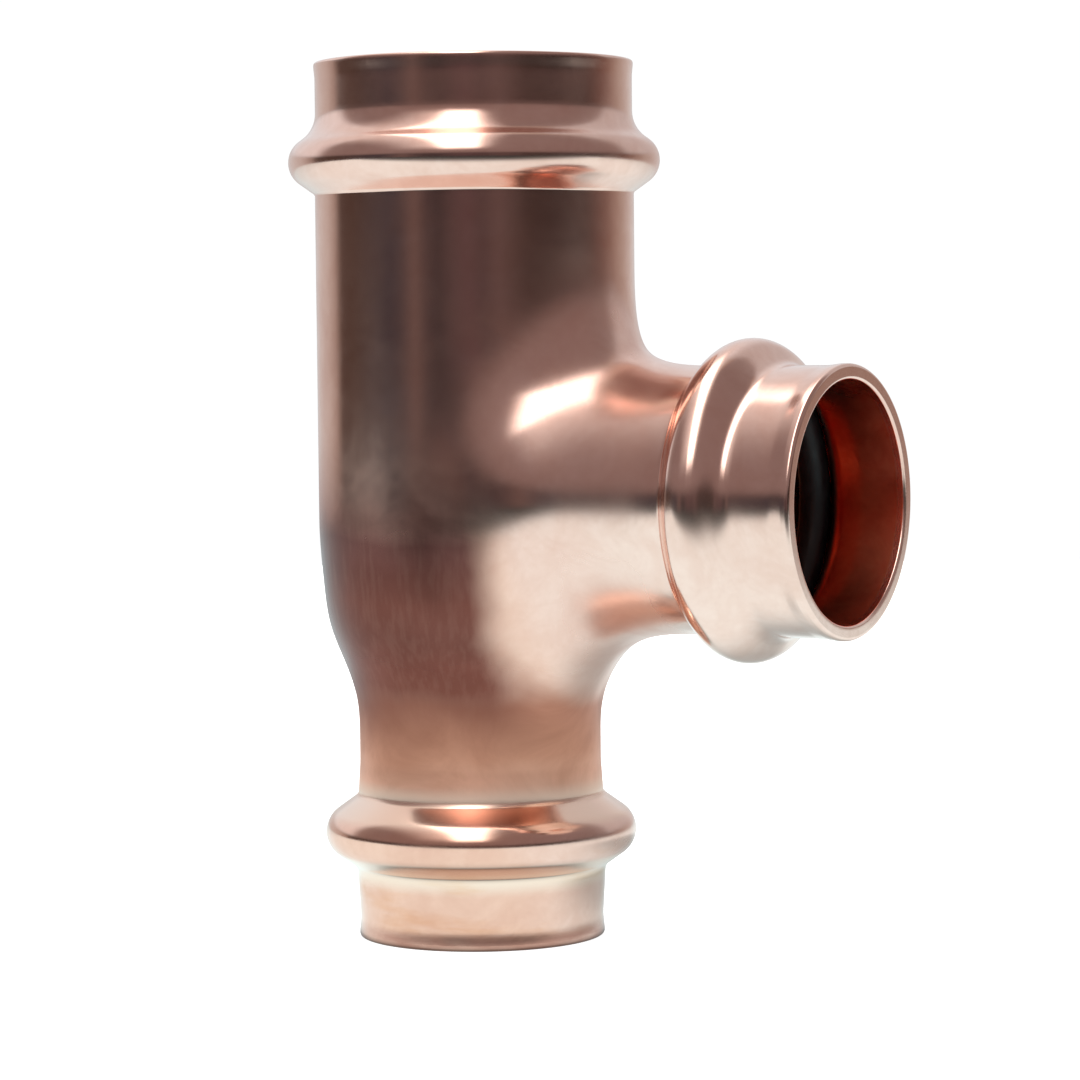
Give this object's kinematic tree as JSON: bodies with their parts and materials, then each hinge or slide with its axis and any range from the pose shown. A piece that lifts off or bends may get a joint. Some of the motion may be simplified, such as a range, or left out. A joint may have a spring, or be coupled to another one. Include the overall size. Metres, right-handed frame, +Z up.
{
  "type": "press-fit reducing tee fitting",
  "caption": "Copper press-fit reducing tee: a large and a small socket in line and a small socket at the side, each with a rolled bead that holds a rubber sealing ring.",
  "frame": {"origin": "centre of the lower 22 mm rim, on the run's axis", "axes": "+Z up the run from the 22 mm socket to the 28 mm socket, +X out along the branch, +Y across both"},
  "size_m": [0.0591, 0.0364, 0.0857],
  "materials": {
    "copper": "bright drawn copper, lightly scuffed",
    "seal_rubber": "moulded black rubber, lightly greased"
  },
  "bodies": {
    "root": {"tee_body": "copper", "seal_ring_run_28": "seal_rubber", "seal_ring_run_22": "seal_rubber", "seal_ring_branch_22": "seal_rubber"}
  },
  "joints": []
}
